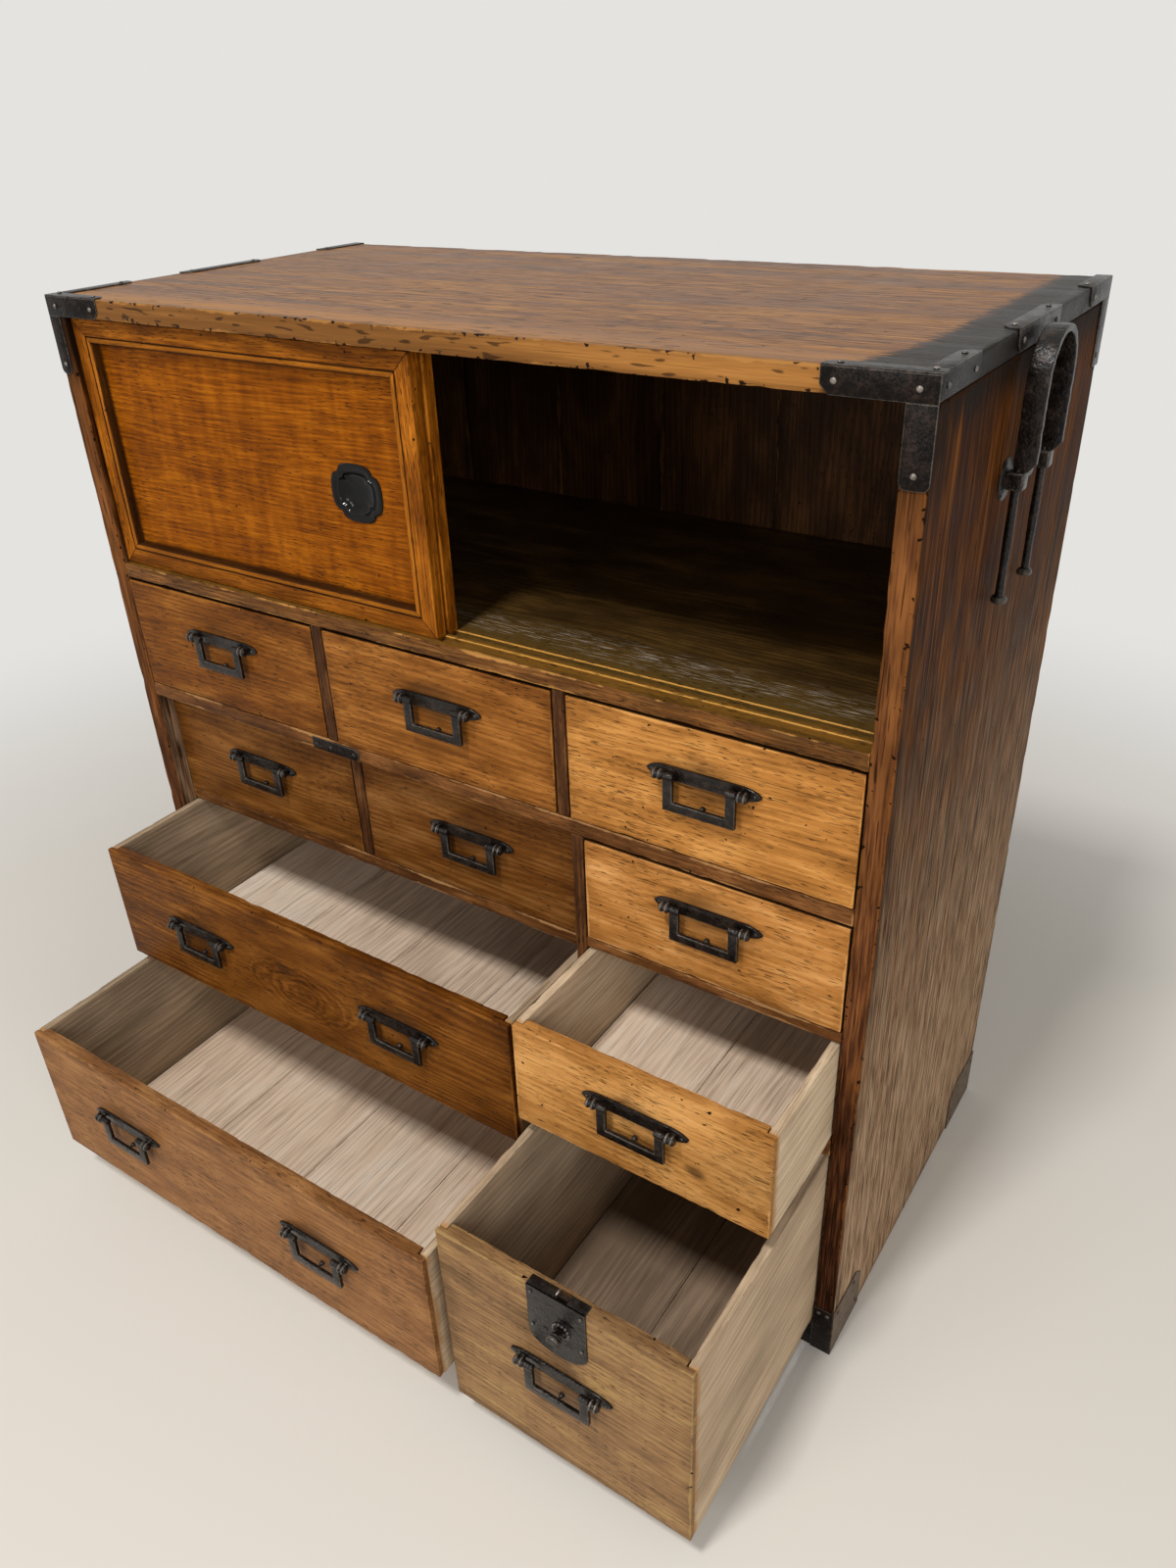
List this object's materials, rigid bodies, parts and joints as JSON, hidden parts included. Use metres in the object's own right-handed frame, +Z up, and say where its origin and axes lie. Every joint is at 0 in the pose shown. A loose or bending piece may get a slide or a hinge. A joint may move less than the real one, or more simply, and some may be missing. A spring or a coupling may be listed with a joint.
{
  "type": "merchant chest",
  "caption": "Lacquered wooden merchant chest: sliding doors over a shelf, rows of drawers with iron drop handles, a lock with a push button, and sliding loops for a carrying pole.",
  "frame": {"origin": "middle of the underside of the front sill, on the floor", "axes": "+Z up, +X to the right seen from the front, -Y is the way the drawers open"},
  "size_m": [0.8714, 0.661, 0.903],
  "materials": {
    "carcass_wood": "lacquered, worn",
    "top_wood": "lacquered, satin",
    "inner_wood": "smoked, dull",
    "drawer_wood": "wiped lacquer outside, bare inside",
    "door_wood": "wiped lacquer",
    "forged_iron": "forged, blackened",
    "black_iron": "black, glossy"
  },
  "bodies": {
    "carcass": {"top_board": "top_wood", "left_side": "carcass_wood", "right_side": "carcass_wood", "bottom_board": "carcass_wood", "back_panel": "inner_wood", "door_shelf": "inner_wood", "row_rail": "carcass_wood", "second_row_divider": "inner_wood", "tall_divider": "carcass_wood", "left_lower_rail": "carcass_wood", "left_upper_rail": "carcass_wood", "right_upper_rail": "carcass_wood", "right_lower_rail": "carcass_wood", "carry_eye_left_front": "forged_iron", "carry_eye_left_back": "forged_iron", "carry_eye_right_front": "forged_iron", "carry_eye_right_back": "forged_iron"},
    "top_left_drawer": {"drawer_top_left": "drawer_wood", "plate_top_left": "forged_iron"},
    "top_left_bail": {"bail_top_left": "forged_iron"},
    "top_middle_drawer": {"drawer_top_middle": "drawer_wood", "plate_top_middle": "forged_iron"},
    "top_middle_bail": {"bail_top_middle": "forged_iron"},
    "top_right_drawer": {"drawer_top_right": "drawer_wood", "plate_top_right": "forged_iron"},
    "top_right_bail": {"bail_top_right": "forged_iron"},
    "second_left_drawer": {"drawer_second_left": "drawer_wood", "plate_second_left": "forged_iron"},
    "second_left_bail": {"bail_second_left": "forged_iron"},
    "second_middle_drawer": {"drawer_second_middle": "drawer_wood", "plate_second_middle": "forged_iron"},
    "second_middle_bail": {"bail_second_middle": "forged_iron"},
    "second_right_drawer": {"drawer_second_right": "drawer_wood", "plate_second_right": "forged_iron"},
    "second_right_bail": {"bail_second_right": "forged_iron"},
    "long_upper_drawer": {"drawer_long_upper": "drawer_wood", "plate_long_upper_left": "forged_iron", "plate_long_upper_right": "forged_iron"},
    "long_upper_left_bail": {"bail_long_upper_left": "forged_iron"},
    "long_upper_right_bail": {"bail_long_upper_right": "forged_iron"},
    "long_lower_drawer": {"drawer_long_lower": "drawer_wood", "plate_long_lower_left": "forged_iron", "plate_long_lower_right": "forged_iron"},
    "long_lower_left_bail": {"bail_long_lower_left": "forged_iron"},
    "long_lower_right_bail": {"bail_long_lower_right": "forged_iron"},
    "shallow_drawer": {"drawer_shallow": "drawer_wood", "plate_shallow": "forged_iron"},
    "shallow_bail": {"bail_shallow": "forged_iron"},
    "deep_drawer": {"drawer_deep": "drawer_wood", "plate_deep": "forged_iron", "lock_plate": "forged_iron"},
    "deep_bail": {"bail_deep": "forged_iron"},
    "lock_button": {"lock_button": "black_iron"},
    "lock_bolt": {"lock_bolt": "forged_iron"},
    "front_door_leaf": {"front_door": "door_wood", "front_door_pull": "black_iron"},
    "rear_door_leaf": {"rear_door": "door_wood", "rear_door_pull": "black_iron"},
    "carrying_handle_left_loop": {"carrying_handle_left": "forged_iron"},
    "carrying_handle_right_loop": {"carrying_handle_right": "forged_iron"}
  },
  "joints": [
    {"name": "top_left_slide", "type": "slide", "parent": "carcass", "child": "top_left_drawer", "axis": [0, -1, 0], "range_m": [0, 0.3]},
    {"name": "top_left_bail_swing", "type": "hinge", "parent": "top_left_drawer", "child": "top_left_bail", "pos_m": [-0.2675, -0.0165, 0.59285], "axis": [-1, 0, 0], "range_deg": [0, 160]},
    {"name": "top_middle_slide", "type": "slide", "parent": "carcass", "child": "top_middle_drawer", "axis": [0, -1, 0], "range_m": [0, 0.3]},
    {"name": "top_middle_bail_swing", "type": "hinge", "parent": "top_middle_drawer", "child": "top_middle_bail", "pos_m": [0.00545, -0.0165, 0.59285], "axis": [-1, 0, 0], "range_deg": [0, 160]},
    {"name": "top_right_slide", "type": "slide", "parent": "carcass", "child": "top_right_drawer", "axis": [0, -1, 0], "range_m": [0, 0.3]},
    {"name": "top_right_bail_swing", "type": "hinge", "parent": "top_right_drawer", "child": "top_right_bail", "pos_m": [0.26875, -0.0165, 0.59285], "axis": [-1, 0, 0], "range_deg": [0, 160]},
    {"name": "second_left_slide", "type": "slide", "parent": "carcass", "child": "second_left_drawer", "axis": [0, -1, 0], "range_m": [0, 0.3]},
    {"name": "second_left_bail_swing", "type": "hinge", "parent": "second_left_drawer", "child": "second_left_bail", "pos_m": [-0.26375, 0.0005, 0.4499], "axis": [-1, 0, 0], "range_deg": [0, 160]},
    {"name": "second_middle_slide", "type": "slide", "parent": "carcass", "child": "second_middle_drawer", "axis": [0, -1, 0], "range_m": [0, 0.3]},
    {"name": "second_middle_bail_swing", "type": "hinge", "parent": "second_middle_drawer", "child": "second_middle_bail", "pos_m": [0.01545, 0.0005, 0.4499], "axis": [-1, 0, 0], "range_deg": [0, 160]},
    {"name": "second_right_slide", "type": "slide", "parent": "carcass", "child": "second_right_drawer", "axis": [0, -1, 0], "range_m": [0, 0.3]},
    {"name": "second_right_bail_swing", "type": "hinge", "parent": "second_right_drawer", "child": "second_right_bail", "pos_m": [0.275, -0.0165, 0.46735], "axis": [-1, 0, 0], "range_deg": [0, 160]},
    {"name": "long_upper_slide", "type": "slide", "parent": "carcass", "child": "long_upper_drawer", "axis": [0, -1, 0], "range_m": [-0.121, 0.179]},
    {"name": "long_upper_left_bail_swing", "type": "hinge", "parent": "long_upper_drawer", "child": "long_upper_left_bail", "pos_m": [-0.26275, -0.1205, 0.30545], "axis": [-1, 0, 0], "range_deg": [0, 160]},
    {"name": "long_upper_right_bail_swing", "type": "hinge", "parent": "long_upper_drawer", "child": "long_upper_right_bail", "pos_m": [0.00825, -0.1205, 0.30545], "axis": [-1, 0, 0], "range_deg": [0, 160]},
    {"name": "long_lower_slide", "type": "slide", "parent": "carcass", "child": "long_lower_drawer", "axis": [0, -1, 0], "range_m": [-0.258, 0.042]},
    {"name": "long_lower_left_bail_swing", "type": "hinge", "parent": "long_lower_drawer", "child": "long_lower_left_bail", "pos_m": [-0.26275, -0.2575, 0.145], "axis": [-1, 0, 0], "range_deg": [0, 160]},
    {"name": "long_lower_right_bail_swing", "type": "hinge", "parent": "long_lower_drawer", "child": "long_lower_right_bail", "pos_m": [0.00825, -0.2575, 0.145], "axis": [-1, 0, 0], "range_deg": [0, 160]},
    {"name": "shallow_slide", "type": "slide", "parent": "carcass", "child": "shallow_drawer", "axis": [0, -1, 0], "range_m": [-0.117, 0.183]},
    {"name": "shallow_bail_swing", "type": "hinge", "parent": "shallow_drawer", "child": "shallow_bail", "pos_m": [0.275, -0.1335, 0.3465], "axis": [-1, 0, 0], "range_deg": [0, 160]},
    {"name": "deep_slide", "type": "slide", "parent": "carcass", "child": "deep_drawer", "axis": [0, -1, 0], "range_m": [-0.235, 0.065]},
    {"name": "deep_bail_swing", "type": "hinge", "parent": "deep_drawer", "child": "deep_bail", "pos_m": [0.275, -0.2515, 0.16], "axis": [-1, 0, 0], "range_deg": [0, 160]},
    {"name": "lock_button_push", "type": "slide", "parent": "deep_drawer", "child": "lock_button", "axis": [0, 1, 0], "range_m": [0, 0.005]},
    {"name": "lock_bolt_rise", "type": "slide", "parent": "deep_drawer", "child": "lock_bolt", "axis": [0, 0, 1], "range_m": [0, 0.0075]},
    {"name": "front_door_slide", "type": "slide", "parent": "carcass", "child": "front_door_leaf", "axis": [1, 0, 0], "range_m": [0, 0.387]},
    {"name": "rear_door_slide", "type": "slide", "parent": "carcass", "child": "rear_door_leaf", "axis": [1, 0, 0], "range_m": [-0.0015, 0.3855]},
    {"name": "carrying_handle_left_lift", "type": "slide", "parent": "carcass", "child": "carrying_handle_left_loop", "axis": [0, 0, 1], "range_m": [0, 0.0795]},
    {"name": "carrying_handle_right_lift", "type": "slide", "parent": "carcass", "child": "carrying_handle_right_loop", "axis": [0, 0, 1], "range_m": [0, 0.0795]}
  ],
  "couplings": [
    {"joint": "lock_bolt_rise", "follows": "lock_button_push", "ratio": 1.5}
  ]
}
